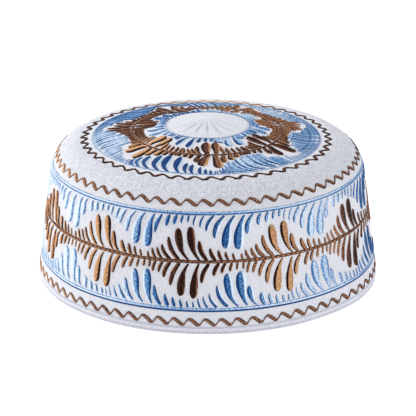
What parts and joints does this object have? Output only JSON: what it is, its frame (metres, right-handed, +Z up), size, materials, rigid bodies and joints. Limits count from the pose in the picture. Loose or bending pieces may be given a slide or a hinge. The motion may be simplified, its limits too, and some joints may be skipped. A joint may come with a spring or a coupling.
{
  "type": "embroidered prayer cap",
  "caption": "Round brimless prayer cap with a tapering side band, a rounded quilted shoulder and a low crown gathered at its centre.",
  "frame": {"origin": "centre of the rim's lower face, at the height of the surface that the cap rests on", "axes": "+Z up through the crown's gathered centre, +X to the cap's right side as seen from the front, -Y to the front"},
  "size_m": [0.1848, 0.1848, 0.0874],
  "materials": {
    "hem_cotton": "white cotton with stitched rows, matt",
    "band_cotton": "smooth white cotton, matt",
    "crown_cotton": "white cotton, quilted in close rows on the shoulder, matt",
    "centre_cotton": "fine white cotton drawn into gathers, matt",
    "brown_thread": "shaded brown satin stitch, silky",
    "blue_thread": "shaded blue satin stitch, silky"
  },
  "bodies": {
    "root": {"rim_hem": "hem_cotton", "side_band": "band_cotton", "crown": "crown_cotton", "crown_centre": "centre_cotton"}
  },
  "joints": []
}
